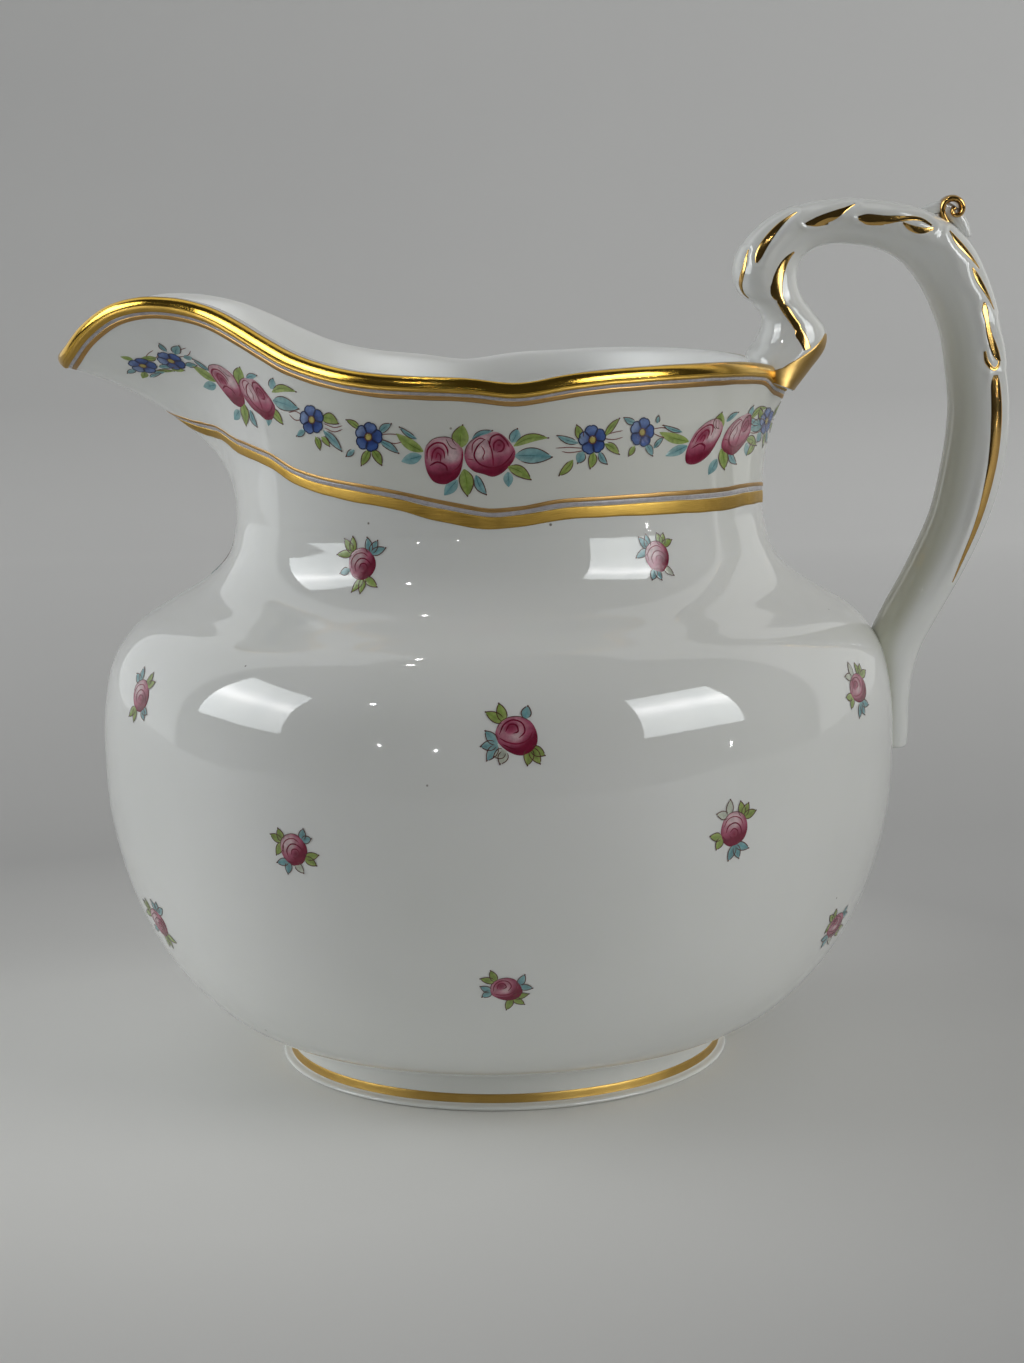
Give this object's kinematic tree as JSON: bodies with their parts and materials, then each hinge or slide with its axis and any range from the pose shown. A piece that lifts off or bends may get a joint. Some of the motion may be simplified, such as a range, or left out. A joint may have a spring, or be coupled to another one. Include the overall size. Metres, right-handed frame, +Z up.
{
  "type": "cream jug",
  "caption": "Small lobed porcelain cream jug with a raised beak spout, footring and scrolled loop handle, enamelled with rose sprigs and a garland between gilt borders.",
  "frame": {"origin": "on the table, under the middle of the whole jug's bounding box; the axis of the body is at x = -5.1 mm", "axes": "+Z up; +X from the spout towards the handle; the jug is symmetric about the XZ plane"},
  "size_m": [0.1168, 0.0971, 0.1066],
  "materials": {
    "porcelain": "clear gloss glaze over white porcelain",
    "burnished_gold": "fired and burnished gilding, a little worn",
    "lilac_enamel": "thin fired enamel",
    "rose_enamel": "hand painted fired enamel",
    "blue_enamel": "hand painted fired enamel",
    "green_enamel": "hand painted fired enamel",
    "turquoise_enamel": "hand painted fired enamel"
  },
  "bodies": {
    "root": {"jug_body": "porcelain", "foot_ring": "porcelain", "handle": "porcelain", "handle_scroll": "burnished_gold", "gilt_lip": "burnished_gold", "lilac_lip_line": "lilac_enamel", "gilt_lip_line": "burnished_gold", "gilt_border_line": "burnished_gold", "lilac_border_line": "lilac_enamel", "gilt_border_band": "burnished_gold", "gilt_foot_band": "burnished_gold", "gilt_handle_strokes": "burnished_gold", "garland_roses": "rose_enamel", "garland_blue_flowers": "blue_enamel", "garland_leaves_green": "green_enamel", "garland_leaves_turquoise": "turquoise_enamel", "sprig_roses": "rose_enamel", "sprig_leaves_green": "green_enamel", "sprig_leaves_turquoise": "turquoise_enamel"}
  },
  "joints": []
}
